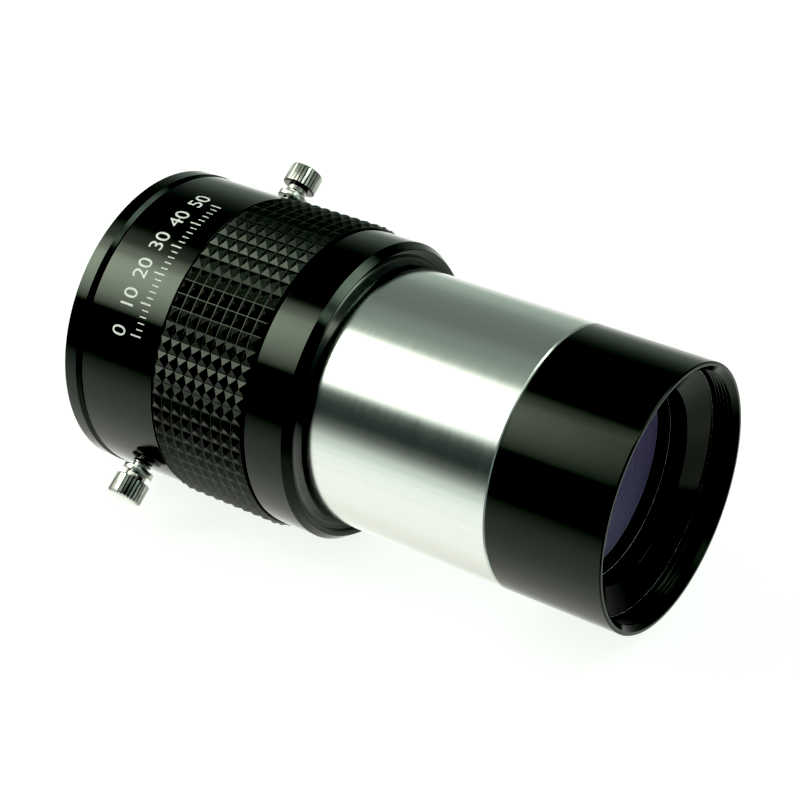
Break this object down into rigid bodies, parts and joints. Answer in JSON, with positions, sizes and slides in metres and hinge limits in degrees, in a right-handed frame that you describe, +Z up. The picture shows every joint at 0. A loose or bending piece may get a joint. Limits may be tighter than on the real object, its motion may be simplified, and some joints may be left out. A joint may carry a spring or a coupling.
{
  "type": "barlow lens",
  "caption": "Two-inch barlow lens: filter-threaded lens cell and bright barrel, pyramid-grip housing with an eyepiece socket clamped by fluted thumbscrews.",
  "frame": {"origin": "on the optical axis at the housing's flat front shoulder, where the barrel is pushed home in a focuser", "axes": "+X along the optical axis out of the front (telescope) end, +Z up, thumbscrews in the plane square to X at 37 and 217 degrees from +Y towards +Z"},
  "size_m": [0.1159, 0.0652, 0.0608],
  "materials": {
    "black_anodised": "polished black anodised",
    "bright_barrel": "bright turned and plated",
    "blackened_metal": "matte black",
    "grip_rubber": "moulded matte rubber",
    "brass": "turned",
    "chrome_screws": "polished plating",
    "coated_glass_front": "purple anti-reflection coating",
    "coated_glass_rear": "anti-reflection coating"
  },
  "bodies": {
    "barlow": {"lens_cell": "black_anodised", "lens_retaining_ring": "black_anodised", "lens_seat_ring": "black_anodised", "front_lens_element": "coated_glass_front", "lens_spacer_ring": "blackened_metal", "rear_lens_element": "coated_glass_rear", "barrel_tube": "bright_barrel", "light_baffle": "blackened_metal", "housing": "black_anodised", "grip_sleeve": "grip_rubber", "compression_ring": "brass", "end_ring": "black_anodised"},
    "upper_washer": {"thumbscrew_washer_upper": "chrome_screws"},
    "upper_screw": {"thumbscrew_upper": "chrome_screws"},
    "lower_washer": {"thumbscrew_washer_lower": "chrome_screws"},
    "lower_screw": {"thumbscrew_lower": "chrome_screws"}
  },
  "joints": [
    {"name": "upper_screw_travel", "type": "slide", "parent": "barlow", "child": "upper_washer", "axis": [0, 0.7986, 0.6018], "range_m": [-0.00122, 0.00115]},
    {"name": "upper_screw_turn", "type": "hinge", "parent": "upper_washer", "child": "upper_screw", "pos_m": [-0.0406, 0, 0], "axis": [0, 0.7986, 0.6018], "range_deg": [-630, 594]},
    {"name": "lower_screw_travel", "type": "slide", "parent": "barlow", "child": "lower_washer", "axis": [0, -0.7986, -0.6018], "range_m": [0, 0.00245]},
    {"name": "lower_screw_turn", "type": "hinge", "parent": "lower_washer", "child": "lower_screw", "pos_m": [-0.0406, 0, 0], "axis": [0, -0.7986, -0.6018], "range_deg": [0, 1260]}
  ],
  "couplings": [
    {"joint": "upper_screw_turn", "follows": "upper_screw_travel", "rad_per_m": 8976},
    {"joint": "lower_screw_turn", "follows": "lower_screw_travel", "rad_per_m": 8976}
  ]
}
